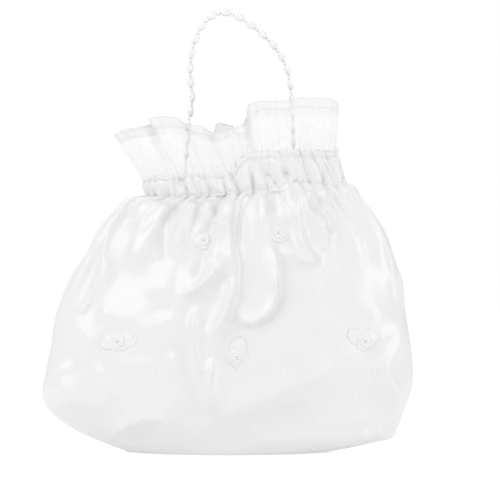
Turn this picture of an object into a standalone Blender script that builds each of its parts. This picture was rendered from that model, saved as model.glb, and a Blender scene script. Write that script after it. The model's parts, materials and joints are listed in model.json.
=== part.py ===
"""Satin flower girl bag with an elasticated neck, organza frill, ribbon rosettes and a beaded handle.

Metres, +Z up. The origin is the middle of the bag's footprint, on the surface that it stands on.
The front of the bag faces -Y, and +X is to the right of someone looking at the front.
"""

import math

import bmesh
import bpy
from mathutils import Matrix, Vector

# ---------------------------------------------------------------- driving dimensions
GAP = 0.0003  # clearance between pieces that touch

# The body's sections: height, half width, half depth, and how far the section leans to the right.
SECTIONS = (
    (0.0013, 0.060, 0.0300, 0.0000),
    (0.0060, 0.083, 0.0370, 0.0000),
    (0.0160, 0.1015, 0.0425, 0.0000),
    (0.0360, 0.1110, 0.0455, 0.0000),
    (0.0640, 0.1090, 0.0450, 0.0000),
    (0.0940, 0.1030, 0.0415, 0.0022),
    (0.1220, 0.0915, 0.0355, 0.0055),
    (0.1400, 0.0785, 0.0300, 0.0080),
    (0.1490, 0.0715, 0.0260, 0.0090),
    (0.1560, 0.0630, 0.0232, 0.0095),
)
ROUNDNESS = 1.85  # exponent of each section's outline; 2 is an ellipse, less draws in towards the side seams
SATIN_WALL = 0.0008
LINING_WALL = 0.0006
LINING_INSET = 0.0014  # from the satin's outer face to the lining's outer face
PANEL_HEIGHTS = (0.0013, 0.003, 0.007, 0.014, 0.024, 0.038, 0.058, 0.080, 0.102, 0.122, 0.140, 0.149, 0.156)
PANEL_COLUMNS = 18
HEIGHT_STEP = 0.0004  # the steps along the body's face that give the direction square to it
ANGLE_STEP = 0.02

BASE_HALF = Vector((0.0620, 0.0320))
BASE_WALL = 0.0010
BOARD_HALF = Vector((0.0560, 0.0265))
BOARD_WALL = 0.0015
BASE_SIDES = 36

NECK_HEIGHT = SECTIONS[-1][0]
NECK_LEAN = SECTIONS[-1][3]
NECK_SLOPE = 0.06  # the neck rises this much for each metre to the right
SLOPE_FROM = 0.090  # height at which the body starts to take up the neck's slope
CASING_HALF = Vector((0.0612, 0.0222))  # the casing's middle, between its two walls
CASING_THICKNESS = 0.0040
CASING_WALL = 0.0006
CASING_LOW_SIDE = 0.0120  # casing height at the left
CASING_HIGH_SIDE = 0.0220  # casing height at the right
CASING_RISE_FROM = 0.004  # the casing's top edge rises between these two places along X
CASING_RISE_TO = 0.024
CASING_COLUMNS = 20
ELASTIC_WIDTH = 0.0060
ELASTIC_THICKNESS = 0.0010
ELASTIC_CLEARANCE = 0.0030  # above the casing's lower edge

FRILL_HEIGHT = 0.0320
FRILL_WALL = 0.0005
FRILL_CLEARANCE = 0.0009  # between the frill's lower edge and the casing's sloping top
FRILL_TOP_HALF = Vector((0.0655, 0.0275))
FRILL_TOP_LEAN = -0.0030
FRILL_PLEATS = 7
FRILL_WAVE = 0.0022
FRILL_COLUMNS = 40
FRILL_ROWS = 2

PITCH = 0.0088  # from one seed bead to the next
THREAD_RADIUS = 0.0003
SEED_RADIUS = 0.0012
BEAD_LENGTH = 0.0062
BEAD_RADIUS = 0.0023
BEAD_BORE = 0.0009
BEAD_FLATNESS = 0.74  # thickness of a bead as a share of its width
BEAD_SIDES = 8
BEAD_ROWS = 4
BEAD_EDGE_ON = math.radians(80)  # how far the beads of the legs are turned from flat
SEED_SHOULDER = (0.62, 0.78)  # where a seed bead's rounded shoulder is, as shares of its radius
TAIL_CLEARANCE = 0.004  # between the last seed bead and the next point of a leg's bare thread
ROUTE_SAMPLES = 4000  # how finely a route is read when points are spaced along it
SPACING_TRIALS = 40  # halvings in the search for the spacing that fits a route
END_TOLERANCE = 1e-7
ARCH_BEADS = 16
LEFT_LEG_BEADS = 3
RIGHT_LEG_BEADS = 4

# The handle's route, chosen by hand. The arch swings about the line through its two ends.
ARCH_ROUTE = (
    (-0.0240, 0.0000, 0.2010),
    (-0.0215, 0.0006, 0.2120),
    (-0.0236, 0.0016, 0.2300),
    (-0.0208, 0.0026, 0.2487),
    (-0.0120, 0.0032, 0.2630),
    (-0.0010, 0.0034, 0.2662),
    (0.0130, 0.0030, 0.2585),
    (0.0269, 0.0020, 0.2462),
    (0.0356, 0.0010, 0.2320),
    (0.0378, 0.0000, 0.2170),
)
LEFT_LEG_ROUTE = (
    (-0.0240, 0.0000, 0.2010),
    (-0.0250, 0.0030, 0.1900),
    (-0.0262, 0.0082, 0.1740),
    (-0.0264, 0.0108, 0.1600),
    (-0.0264, 0.0145, 0.1500),
    (-0.0264, 0.0185, 0.1450),
)
RIGHT_LEG_ROUTE = (
    (0.0378, 0.0000, 0.2170),
    (0.0386, 0.0030, 0.2060),
    (0.0394, 0.0080, 0.1860),
    (0.0398, 0.0114, 0.1660),
    (0.0398, 0.0150, 0.1520),
    (0.0398, 0.0190, 0.1465),
)
TAB_SIZE = Vector((0.0080, 0.0012, 0.0130))
TAB_HEIGHT = 0.1370  # of the tabs' middles
TAB_STAND_OFF = 0.0018  # from the lining to the middle of a tab
TAB_PLACES = {"left": -0.0264, "right": 0.0398}

# Rosettes as (X, height), the same on the front and the back.
ROSETTE_PLACES = (
    (-0.0650, 0.0670),
    (0.0055, 0.0590),
    (0.0805, 0.0670),
    (-0.0142, 0.1270),
    (0.0293, 0.1310),
)
LEAF_HALF = Vector((0.0110, 0.0060))
LEAF_EYE = 0.45  # size of the opening inside the leaf loop, as a share of the loop
LEAF_THICKNESS = 0.0008
LEAF_SIDES = 16
LEAF_LIFT = 2 * GAP + LEAF_THICKNESS / 2  # of the leaf's middle off the satin
ROSE_RADIUS = 0.0055
ROSE_HEIGHT = 0.0038
ROSE_SIDES = 12
# A low dome with two ridges where the ribbon's turns stand up, as shares of the rose's radius and height.
ROSE_PROFILE = (
    (0.0, 0.7),
    (0.2, 1.0),
    (0.42, 0.84),
    (0.58, 0.96),
    (0.82, 0.7),
    (1.0, 0.34),
    (0.9, 0.0),
    (0.0, 0.0),
)
ROSE_LIFT = 3 * GAP + LEAF_THICKNESS  # of the rose's underside off the satin

WHITE_SATIN = (0.90, 0.90, 0.90)
WHITE_LINING = (0.86, 0.86, 0.86)
WHITE_ORGANZA = (0.93, 0.93, 0.93)
PEARL = (0.90, 0.89, 0.87)
CARD = (0.72, 0.70, 0.66)


# ---------------------------------------------------------------- scene and materials
def clear_scene():
    for obj in list(bpy.data.objects):
        bpy.data.objects.remove(obj)


def new_collection(name):
    made = bpy.data.collections.new(name)
    bpy.context.scene.collection.children.link(made)
    return made


def new_material(name, colour, roughness, metallic=0.0):
    made = bpy.data.materials.new(name)
    made.use_nodes = True
    shader = made.node_tree.nodes["Principled BSDF"]
    shader.inputs["Base Color"].default_value = (*colour, 1.0)
    shader.inputs["Roughness"].default_value = roughness
    shader.inputs["Metallic"].default_value = metallic
    return made


def add_object(name, data, material):
    made = bpy.data.objects.new(name, data)
    data.materials.append(material)
    BAG.objects.link(made)
    return made


def add_mesh(name, bm, material, smooth=True):
    bmesh.ops.recalc_face_normals(bm, faces=bm.faces)
    mesh = bpy.data.meshes.new(name)
    bm.to_mesh(mesh)
    bm.free()
    if smooth:
        mesh.shade_smooth()
        mesh.set_sharp_from_angle(angle=math.radians(40))
    return add_object(name, mesh, material)


# ---------------------------------------------------------------- curves and sections
def smooth_step(value, start, end):
    t = min(max((value - start) / (end - start), 0.0), 1.0)
    return t * t * (3 - 2 * t)


def catmull_rom(points, at):
    """The smooth curve through points, where at is 0 at the first point, 1 at the second and so on."""
    last = len(points) - 1
    first = min(int(at), last - 1)
    t = at - first
    before, start, end, after = (
        Vector(points[min(max(first + k, 0), last)]) for k in (-1, 0, 1, 2)
    )
    bend = 2 * before - 5 * start + 4 * end - after
    twist = -before + 3 * start - 3 * end + after
    return start + 0.5 * t * ((end - before) + t * (bend + t * twist))


def section_at(height):
    """Half width, half depth and lean of the body at a height, smooth between the given sections."""
    heights = [section[0] for section in SECTIONS]
    height = min(max(height, heights[0]), heights[-1])
    low = max(i for i in range(len(heights) - 1) if heights[i] <= height)
    share = (height - heights[low]) / (heights[low + 1] - heights[low])
    measures = [section[1:] for section in SECTIONS]
    return catmull_rom(measures, low + share)


def signed_power(value, power):
    return math.copysign(abs(value) ** power, value)


def outline(half, lean, height, angle):
    """A point on a section's outline. Angles run from the right, through the back, the left and the front."""
    power = 2 / ROUNDNESS
    across = half[0] * signed_power(math.cos(angle), power)
    slope = NECK_SLOPE * smooth_step(height, SLOPE_FROM, NECK_HEIGHT)
    return Vector((
        lean + across,
        half[1] * signed_power(math.sin(angle), power),
        height + slope * (across + lean - NECK_LEAN),
    ))


def body_point(height, angle, depth=0.0):
    """A point of the body's outer face, or depth inside it, square to the face."""
    def face(at_height, at_angle):
        width, thickness, lean = section_at(at_height)
        return outline((width, thickness), lean, at_height, at_angle)

    point = face(height, angle)
    if not depth:
        return point
    low = max(height - HEIGHT_STEP, SECTIONS[0][0])
    high = min(height + HEIGHT_STEP, NECK_HEIGHT)
    upward = face(high, angle) - face(low, angle)
    around = face(height, angle + ANGLE_STEP) - face(height, angle - ANGLE_STEP)
    return point - depth * around.cross(upward).normalized()


def face_angle(x, height, front):
    """The angle of the place at x and a height on the body's front or back."""
    width, _, lean = section_at(height)
    angle = math.acos(signed_power((x - lean) / width, ROUNDNESS / 2))
    return -angle if front else angle


def half_angles(count, half_depth, front):
    """Angles along the front or back half of a section, left to right, half a gap short of the side seams."""
    edge = math.asin((0.5 * GAP / half_depth) ** (ROUNDNESS / 2))
    spread = [math.pi - edge - (math.pi - 2 * edge) * i / count for i in range(count + 1)]
    return [-angle for angle in spread] if front else spread


# ---------------------------------------------------------------- building shapes
def add_grid(bm, rows, closed=False):
    """Vertices and quads for a grid of points; closed joins each row's last point to its first."""
    verts = [[bm.verts.new(point) for point in row] for row in rows]
    for low, high in zip(verts, verts[1:]):
        for i in range(len(low) if closed else len(low) - 1):
            j = (i + 1) % len(low)
            bm.faces.new((low[i], low[j], high[j], high[i]))
    return verts


def bridge(bm, one, other, closed=False):
    for i in range(len(one) if closed else len(one) - 1):
        j = (i + 1) % len(one)
        bm.faces.new((one[i], one[j], other[j], other[i]))


def sheet_solid(name, outer_rows, inner_rows, material):
    """A sheet of cloth with a thickness: two grids of points joined round their edges."""
    bm = bmesh.new()
    outer = add_grid(bm, outer_rows)
    inner = add_grid(bm, inner_rows)
    bridge(bm, outer[0], inner[0])
    bridge(bm, outer[-1], inner[-1])
    bridge(bm, [row[0] for row in outer], [row[0] for row in inner])
    bridge(bm, [row[-1] for row in outer], [row[-1] for row in inner])
    return add_mesh(name, bm, material)


def swept_ring(name, sections, hole_sections, material):
    """A band swept through four-cornered sections. Hole sections make it a tube that is open at both ends."""
    bm = bmesh.new()
    outer = add_grid(bm, sections, closed=True)
    if hole_sections:
        hole = add_grid(bm, hole_sections, closed=True)
        bridge(bm, outer[0], hole[0], closed=True)
        bridge(bm, outer[-1], hole[-1], closed=True)
    else:
        bm.faces.new(outer[0])
        bm.faces.new(outer[-1])
    return add_mesh(name, bm, material)


def oval_plate(name, half, low, wall, material):
    """A flat oval plate, from a cylinder primitive."""
    bm = bmesh.new()
    bmesh.ops.create_cone(
        bm, cap_ends=True, segments=BASE_SIDES, radius1=1.0, radius2=1.0, depth=wall
    )
    bmesh.ops.scale(bm, vec=(half.x, half.y, 1.0), verts=bm.verts)
    bmesh.ops.translate(bm, vec=(0.0, 0.0, low + wall / 2), verts=bm.verts)
    return add_mesh(name, bm, material)


# ---------------------------------------------------------------- the pouch
def make_satin_panel(name, front):
    """One of the two satin panels, which meet at the side seams."""
    rows = []
    for depth in (0.0, SATIN_WALL):
        rows.append([
            [
                body_point(height, angle, depth)
                for angle in half_angles(PANEL_COLUMNS, section_at(height)[1], front)
            ]
            for height in PANEL_HEIGHTS
        ])
    sheet_solid(name, rows[0], rows[1], SATIN)


def make_lining():
    """The loose inner pouch, closed at the bottom and open at the neck."""
    count = 2 * PANEL_COLUMNS
    angles = [2 * math.pi * i / count for i in range(count)]
    floor = BASE_WALL + BOARD_WALL + 2 * GAP
    heights = [h for h in PANEL_HEIGHTS if h > 0.005][:-1] + [NECK_HEIGHT - 0.0015]

    def rows(depth, floor_height, floor_half):
        flat = [outline(floor_half, 0.0, floor_height, a) for a in angles]
        return [flat] + [[body_point(h, a, depth) for a in angles] for h in heights]

    bm = bmesh.new()
    outer = add_grid(bm, rows(LINING_INSET, floor, BOARD_HALF), closed=True)
    inner_half = BOARD_HALF - Vector((LINING_WALL, LINING_WALL))
    inner = add_grid(
        bm, rows(LINING_INSET + LINING_WALL, floor + LINING_WALL, inner_half), closed=True
    )
    bm.faces.new(outer[0])
    bm.faces.new(inner[0])
    bridge(bm, outer[-1], inner[-1], closed=True)
    add_mesh("lining_pouch", bm, LINING)


def make_base():
    """The satin oval under the bag, and the card inside it that keeps the bottom flat."""
    oval_plate("base_panel", BASE_HALF, 0.0, BASE_WALL, SATIN)
    oval_plate("base_board", BOARD_HALF, BASE_WALL + GAP, BOARD_WALL, BOARD)


# ---------------------------------------------------------------- the neck
def casing_top(x):
    """Height of the casing's upper edge, which is higher on the right of the neck."""
    rise = smooth_step(x, CASING_RISE_FROM, CASING_RISE_TO)
    return NECK_HEIGHT + CASING_LOW_SIDE + (CASING_HIGH_SIDE - CASING_LOW_SIDE) * rise


def neck_angles(count, front):
    return half_angles(count, CASING_HALF.y - CASING_THICKNESS / 2, front)


def band_section(angle, thickness, low, high):
    """The four corners of a band that stands upright round the neck."""
    corners = []
    for side, height in ((1, low), (1, high), (-1, high), (-1, low)):
        half = CASING_HALF + Vector((0.5, 0.5)) * side * thickness
        corners.append(outline(half, NECK_LEAN, height, angle))
    return corners


def make_casing(name, front):
    """Half of the casing round the neck: a flat tube of satin that is open at the side seams."""
    outside, inside = [], []
    low = NECK_HEIGHT + GAP
    for angle in neck_angles(CASING_COLUMNS, front):
        high = casing_top(outline(CASING_HALF, NECK_LEAN, 0, angle).x)
        outside.append(band_section(angle, CASING_THICKNESS, low, high))
        inside.append(band_section(
            angle, CASING_THICKNESS - 2 * CASING_WALL, low + CASING_WALL, high - CASING_WALL
        ))
    swept_ring(name, outside, inside, SATIN)


def make_elastic(name, front):
    """The length of elastic inside one half of the casing."""
    low = NECK_HEIGHT + ELASTIC_CLEARANCE
    sections = [
        band_section(angle, ELASTIC_THICKNESS, low, low + ELASTIC_WIDTH)
        for angle in neck_angles(CASING_COLUMNS, front)
    ]
    swept_ring(name, sections, None, ELASTIC)


def make_frill(name, front):
    """Half of the organza frill, which stands on the casing and flares in shallow pleats."""
    angles = neck_angles(FRILL_COLUMNS, front)
    grids = []
    for side in (0.5, -0.5):
        rows = []
        for row in range(FRILL_ROWS + 1):
            share = row / FRILL_ROWS
            half = CASING_HALF.lerp(FRILL_TOP_HALF, share)
            lean = NECK_LEAN + (FRILL_TOP_LEAN - NECK_LEAN) * share
            points = []
            for i, angle in enumerate(angles):
                along = i / FRILL_COLUMNS
                wave = FRILL_WAVE * share * math.sin(2 * math.pi * FRILL_PLEATS * along)
                inset = half + Vector((0.4, 1.0)) * wave + Vector((1.0, 1.0)) * side * FRILL_WALL
                base = casing_top(outline(CASING_HALF, NECK_LEAN, 0, angle).x) + FRILL_CLEARANCE
                points.append(outline(inset, lean, base + share * FRILL_HEIGHT, angle))
            rows.append(points)
        grids.append(rows)
    sheet_solid(name, grids[0], grids[1], ORGANZA)


# ---------------------------------------------------------------- the beaded handle
def route_points(route, spacing, count):
    """count points along a smooth route, a straight spacing apart, from its first point."""
    last = len(route) - 1
    fine = [catmull_rom(route, last * i / ROUTE_SAMPLES) for i in range(ROUTE_SAMPLES + 1)]
    found = [fine[0]]
    for point in fine:
        if len(found) < count and (point - found[-1]).length >= spacing:
            found.append(point)
    return found, fine[-1]


def even_points(route, spans):
    """The points that divide a smooth route into equal straight spans, which end at the route's end."""
    low, high = 0.5 * PITCH, 1.5 * PITCH
    for _ in range(SPACING_TRIALS):
        spacing = (low + high) / 2
        found, end = route_points(route, spacing, spans + 1)
        if len(found) <= spans or (end - found[-1]).length < END_TOLERANCE:
            high = spacing
        else:
            low = spacing
    found, end = route_points(route, low, spans + 1)
    return found[:spans] + [end]


def seed_profile(centre, before, after):
    """Points and radii that swell the thread into a seed bead about centre."""
    shoulder, swollen = SEED_SHOULDER
    swell = ((1.0, THREAD_RADIUS), (shoulder, swollen * SEED_RADIUS), (0.0, SEED_RADIUS))
    made = []
    for share, radius in swell:
        made.append((centre + before * share * SEED_RADIUS, radius))
    for share, radius in reversed(swell[:2]):
        made.append((centre + after * share * SEED_RADIUS, radius))
    return made


def make_thread(name, stations):
    """The thread and its seed beads: a curve whose radius swells at each seed."""
    data = bpy.data.curves.new(name, "CURVE")
    data.dimensions = "3D"
    data.bevel_depth = 1.0
    data.bevel_resolution = 2
    data.use_fill_caps = True
    spline = data.splines.new("POLY")
    spline.points.add(len(stations) - 1)
    for point, (place, radius) in zip(spline.points, stations):
        point.co = (*place, 1.0)
        point.radius = radius
    add_object(name, data, THREAD)


def along(start, end, distance):
    return start + (end - start).normalized() * distance


def thread_stations(points, seeds):
    """Stations for a thread through points, with a seed bead at each index in seeds."""
    stations = []
    for i, point in enumerate(points):
        if i not in seeds:
            stations.append((point, THREAD_RADIUS))
            continue
        other = points[i + 1] if i + 1 < len(points) else point + (point - points[i - 1])
        previous = points[i - 1] if i else point + (point - points[1])
        before = (previous - point).normalized()
        after = (other - point).normalized()
        stations += seed_profile(point, before, after)
    return stations


def bead_mesh():
    """An oval bead with a bore, turned about its length and then flattened."""
    half = BEAD_LENGTH / 2
    profile = [(BEAD_BORE, half)]
    for i in range(BEAD_ROWS):
        angle = math.pi * (i + 0.5) / BEAD_ROWS
        swell = BEAD_BORE + (BEAD_RADIUS - BEAD_BORE) * math.sin(angle)
        profile.append((swell, half * math.cos(angle)))
    profile.append((BEAD_BORE, -half))
    bm = bmesh.new()
    verts = [bm.verts.new((radius, 0.0, height)) for radius, height in profile]
    for one, other in zip(verts, verts[1:] + verts[:1]):
        bm.edges.new((one, other))
    bmesh.ops.spin(
        bm, geom=bm.verts[:] + bm.edges[:], cent=(0, 0, 0), axis=(0, 0, 1),
        angle=2 * math.pi, steps=BEAD_SIDES, use_merge=True,
    )
    bmesh.ops.remove_doubles(bm, verts=bm.verts, dist=1e-6)
    bmesh.ops.scale(bm, vec=(1.0, BEAD_FLATNESS, 1.0), verts=bm.verts)
    bmesh.ops.recalc_face_normals(bm, faces=bm.faces)
    mesh = bpy.data.meshes.new("oval_bead")
    bm.to_mesh(mesh)
    bm.free()
    mesh.shade_smooth()
    return mesh


def place_bead(name, mesh, start, end, turn):
    """A bead between two seeds, turned about the thread by an angle."""
    direction = (end - start).normalized()
    sideways = Vector((0.0, 1.0, 0.0)).cross(direction).normalized()
    facing = direction.cross(sideways)
    axes = Matrix((sideways, facing, direction)).transposed().to_4x4()
    bead = bpy.data.objects.new(name, mesh)
    bead.matrix_world = (
        Matrix.Translation((start + end) / 2) @ axes @ Matrix.Rotation(turn, 4, "Z")
    )
    BAG.objects.link(bead)


def bead_turn(share):
    """How far a bead is turned along the arch: flat to the front at the crown, nearly edge on in the legs."""
    return BEAD_EDGE_ON * (2 * share - 1) ** 2


def make_handle():
    """The arch that the hand holds, and the two legs that run down inside the neck."""
    mesh = bead_mesh()
    mesh.materials.append(PEARL_BEAD)
    arch = even_points(ARCH_ROUTE, ARCH_BEADS)
    clear = SEED_RADIUS + GAP
    ends = [along(arch[0], arch[1], clear)] + arch[1:-1] + [along(arch[-1], arch[-2], clear)]
    make_thread("thread_arch", thread_stations(ends, range(1, len(ends) - 1)))
    for i in range(ARCH_BEADS):
        turn = bead_turn((i + 0.5) / ARCH_BEADS)
        place_bead(f"arch_bead_{i + 1:02d}", mesh, arch[i], arch[i + 1], turn)
    legs = (("left", LEFT_LEG_ROUTE, LEFT_LEG_BEADS), ("right", RIGHT_LEG_ROUTE, RIGHT_LEG_BEADS))
    for side, route, beads in legs:
        points, end = route_points(route, PITCH, beads + 1)
        below = [p for p in (Vector(q) for q in route) if p.z < points[-1].z - TAIL_CLEARANCE]
        stations = thread_stations(points + below[:-1] + [end], range(beads + 1))
        make_thread(f"thread_{side}_leg", stations[2:])
        for i in range(beads):
            turn = bead_turn(0.0)
            place_bead(f"{side}_leg_bead_{i + 1}", mesh, points[i], points[i + 1], turn)


def make_tabs():
    """The two folded ribbon tabs on the inside of the back lining, which hold the ends of the thread."""
    for side, x in TAB_PLACES.items():
        angle = face_angle(x, TAB_HEIGHT, False)
        wall = body_point(TAB_HEIGHT, angle, LINING_INSET + LINING_WALL)
        inward = (wall - body_point(TAB_HEIGHT, angle)).normalized()
        bm = bmesh.new()
        bmesh.ops.create_cube(bm, size=1.0)
        bmesh.ops.scale(bm, vec=TAB_SIZE, verts=bm.verts)
        tab = add_mesh(f"handle_tab_{side}", bm, SATIN, smooth=False)
        flat = Vector((-inward.y, inward.x, 0.0)).normalized()
        axes = Matrix((flat, inward, flat.cross(inward))).transposed().to_4x4()
        tab.matrix_world = Matrix.Translation(wall + inward * TAB_STAND_OFF) @ axes
        edge = tab.modifiers.new("soft_edges", "BEVEL")
        edge.width = 0.0003
        edge.segments = 1


# ---------------------------------------------------------------- rosettes
def leaf_curve():
    """The ribbon loop behind a rose: an oval outline with an oval opening, as a filled curve."""
    data = bpy.data.curves.new("leaf_outline", "CURVE")
    data.dimensions = "2D"
    data.fill_mode = "BOTH"
    data.extrude = LEAF_THICKNESS / 2
    for scale, count in ((1.0, LEAF_SIDES), (LEAF_EYE, LEAF_SIDES // 2)):
        spline = data.splines.new("POLY")
        spline.use_cyclic_u = True
        spline.points.add(count - 1)
        for i, point in enumerate(spline.points):
            angle = 2 * math.pi * i / count
            x = LEAF_HALF.x * scale * math.cos(angle)
            y = LEAF_HALF.y * scale * math.sin(angle)
            point.co = (x, y, 0.0, 1.0)
    return data


def rose_profile():
    """The edge that turns into a rolled rose."""
    bm = bmesh.new()
    verts = [bm.verts.new((r * ROSE_RADIUS, 0.0, h * ROSE_HEIGHT)) for r, h in ROSE_PROFILE]
    for one, other in zip(verts, verts[1:]):
        bm.edges.new((one, other))
    mesh = bpy.data.meshes.new("rose")
    bm.to_mesh(mesh)
    bm.free()
    return mesh


def make_rosettes():
    """Five rosettes on the front and five on the back."""
    for face_name, front in (("front", True), ("back", False)):
        for i, (x, height) in enumerate(ROSETTE_PLACES):
            angle = face_angle(x, height, front)
            point = body_point(height, angle)
            outward = (point - body_point(height, angle, SATIN_WALL)).normalized()
            sideways = Vector((0.0, 0.0, 1.0)).cross(outward).normalized()
            axes = Matrix((sideways, outward.cross(sideways), outward)).transposed().to_4x4()
            leaf = add_object(f"{face_name}_leaf_{i + 1}", leaf_curve(), SATIN)
            leaf.matrix_world = Matrix.Translation(point + outward * LEAF_LIFT) @ axes
            rose = add_object(f"{face_name}_rose_{i + 1}", rose_profile(), SATIN)
            rose.matrix_world = Matrix.Translation(point + outward * ROSE_LIFT) @ axes
            turned = rose.modifiers.new("turned", "SCREW")
            turned.steps = ROSE_SIDES
            turned.render_steps = ROSE_SIDES
            turned.use_merge_vertices = True
            turned.merge_threshold = 0.00005
            turned.use_smooth_shade = True


clear_scene()
BAG = new_collection("flower_girl_bag")
SATIN = new_material("white_satin", WHITE_SATIN, 0.32)
LINING = new_material("white_lining", WHITE_LINING, 0.55)
ORGANZA = new_material("white_organza", WHITE_ORGANZA, 0.45)
ELASTIC = new_material("white_elastic", WHITE_LINING, 0.75)
BOARD = new_material("base_card", CARD, 0.85)
PEARL_BEAD = new_material("pearl", PEARL, 0.18)
THREAD = new_material("thread_and_seed_beads", PEARL, 0.30)

for face, is_front in (("front", True), ("back", False)):
    make_satin_panel(f"satin_{face}_panel", is_front)
    make_casing(f"casing_{face}", is_front)
    make_elastic(f"elastic_{face}", is_front)
    make_frill(f"frill_{face}", is_front)
make_lining()
make_base()
make_handle()
make_tabs()
make_rosettes()
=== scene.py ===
"""Looks of the satin flower girl bag.

Gathered satin, ruched casing, organza frill, ribbon roses and pearl handle.

Metres, in the frame's own axes: the front faces -Y, +X is to the right, and the bag stands on Z = 0.
"""

import json
import math

import bmesh
import bpy
import numpy as np
from mathutils import Matrix, Vector


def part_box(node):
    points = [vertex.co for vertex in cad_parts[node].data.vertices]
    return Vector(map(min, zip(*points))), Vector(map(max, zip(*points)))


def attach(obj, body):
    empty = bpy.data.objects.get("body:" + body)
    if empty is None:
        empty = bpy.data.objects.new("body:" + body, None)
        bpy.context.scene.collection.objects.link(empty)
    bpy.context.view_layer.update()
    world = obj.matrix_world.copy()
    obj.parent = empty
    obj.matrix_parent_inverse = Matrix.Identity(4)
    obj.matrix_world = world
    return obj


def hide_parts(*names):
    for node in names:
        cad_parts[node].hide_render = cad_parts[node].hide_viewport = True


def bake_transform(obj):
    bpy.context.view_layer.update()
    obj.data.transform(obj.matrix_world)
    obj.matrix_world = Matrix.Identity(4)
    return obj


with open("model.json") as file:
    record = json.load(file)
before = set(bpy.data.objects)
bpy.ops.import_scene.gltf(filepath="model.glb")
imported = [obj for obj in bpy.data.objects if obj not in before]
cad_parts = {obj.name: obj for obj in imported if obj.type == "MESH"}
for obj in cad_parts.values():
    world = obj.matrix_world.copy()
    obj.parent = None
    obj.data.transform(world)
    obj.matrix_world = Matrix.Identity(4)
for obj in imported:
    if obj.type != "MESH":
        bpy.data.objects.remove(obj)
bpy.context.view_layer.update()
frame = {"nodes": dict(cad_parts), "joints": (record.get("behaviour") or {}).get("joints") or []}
JOINTS = {joint["name"]: joint for joint in frame["joints"]}

MM = 0.001
FRONT, BACK = -1, 1  # which way a face looks along Y

# ---- the bag's sizes, in millimetres
# Height, left edge, right edge and half depth of the body, seen from the front.
SILHOUETTE = (
    (0.3, -62, 62, 31.5),
    (3, -70, 77, 34.0),
    (8, -83, 97, 37.5),
    (15, -97, 102, 40.5),
    (25, -108.5, 106, 43.0),
    (32, -112, 108.5, 44.5),
    (48, -110.5, 111.5, 45.5),
    (64, -107.5, 110, 45.0),
    (84, -103.7, 107.2, 42.5),
    (99, -96.3, 104, 40.0),
    (113, -89, 98.5, 37.0),
    (128, -80.5, 93, 33.0),
    (141, -68.5, 83.5, 28.5),
    (150, -60, 76, 25.3),
    (154, -54, 73.5, 23.8),
    (156, -49.5, 71.5, 23.0),
)
ROUNDNESS = 1.9  # exponent of the body's outline from above; 2 is an ellipse
NECK = 156.0
BODY_CENTRE = (0.0, 0.0, 60.0)
NECK_LEAN = 8.5
NECK_SLOPE = 0.06
SLOPE_FROM = 90.0
BODY_COLUMNS = 250
BODY_ROWS = 190
RIPPLE_WAVES = 7  # how many plane waves each irregular surface adds up
PLEAT_SHARPNESS = 0.7  # below 1 a pleat's crest is rounder than its valley

CASING_HALF = (59.3, 22.2)
CASING_MIDDLE = 11.0  # X of the casing's middle at its lower edge
CASING_BACKWARD = 0.26  # how far the casing leans to the left for each millimetre of height
CASING_LEFT = 11.5  # height of the casing at its left and right ends
CASING_RIGHT = 22.5
CASING_STEP = (5.0, 17.0)  # the casing's top steps up between these places along X
CASING_SWELL = 1.6  # how far the casing's two faces stand from its middle
CASING_COLUMNS = 420
CASING_ROWS = 32
CASING_LAP = 1.2  # how far the casing's lower edge lies over the body's gathers
FIRST_STITCHES = 0.11  # the two rows of stitches, as shares of the casing's height
LAST_STITCHES = 0.84
# Deep dents in the front of the casing, as (X, height, depth, half width, half length).
CASING_POCKETS = ((37.0, 167.0, 2.6, 2.4, 4.2), (-26.0, 162.0, 1.8, 1.6, 4.5), (60.5, 171.0, 1.8, 1.6, 5.5))


# ---- smooth curves, waves and noise
def smooth(t):
    """From 0 to 1 as t goes from 0 to 1, level at both ends."""
    t = np.clip(t, 0.0, 1.0)
    return t * t * (3 - 2 * t)


def falloff(distance, width, power=2):
    """1 where distance is nothing, dying away over width."""
    return np.exp(-((distance / width) ** power))


def seam_fade(across, width):
    """0 at both side seams (0 and 1) and 1 once width away from them."""
    return smooth(np.minimum(across, 1 - across) / width)


def unit(vectors):
    """The vectors at length 1."""
    return vectors / (np.linalg.norm(vectors, axis=-1, keepdims=True) + 1e-12)


def lengths_along(points):
    """How far along a path each of its points is."""
    return np.concatenate([[0], np.cumsum(np.linalg.norm(np.diff(points, axis=0), axis=1))])


def full_turn(count):
    """count even angles round a circle."""
    return np.linspace(0, 2 * math.pi, count, endpoint=False)


def curve_through(rows, at, ease=1.0):
    """A curve through rows of (place, value, ...), read at every place in at.

    ease 1 is smooth, and less has corners.
    """
    table = np.array(rows, float)
    places, values = table[:, 0], table[:, 1:]
    slopes = ease * np.gradient(values, places, axis=0)
    at = np.asarray(at, float)
    i = np.clip(np.searchsorted(places, at) - 1, 0, len(places) - 2)
    span = (places[i + 1] - places[i])[..., None]
    t = np.clip((at - places[i])[..., None] / span, 0, 1)
    low, high = values[i], values[i + 1]
    rise = high - low
    start = slopes[i] * span
    end = slopes[i + 1] * span
    return low + t * start + t * t * (3 * rise - 2 * start - end) + t ** 3 * (start + end - 2 * rise)


def path_through(points, count, ease=1.0):
    """count points along a path through given points."""
    points = np.array(points, float)
    along = lengths_along(points)
    rows = np.column_stack([along, points])
    return curve_through(rows, np.linspace(0, along[-1], count), ease)


def ripple(a, b, size, seed):
    """Soft irregular waves over two coordinates, about -1 to 1, with crests roughly size apart."""
    rng = np.random.default_rng(seed)
    total = np.zeros(np.broadcast(a, b).shape)
    for _ in range(RIPPLE_WAVES):
        turn, phase = rng.uniform(0, 2 * math.pi, 2)
        pitch = 2 * math.pi / size * rng.uniform(0.7, 1.4)
        total += np.sin(pitch * (a * math.cos(turn) + b * math.sin(turn)) + phase)
    return total / 3.2


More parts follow.
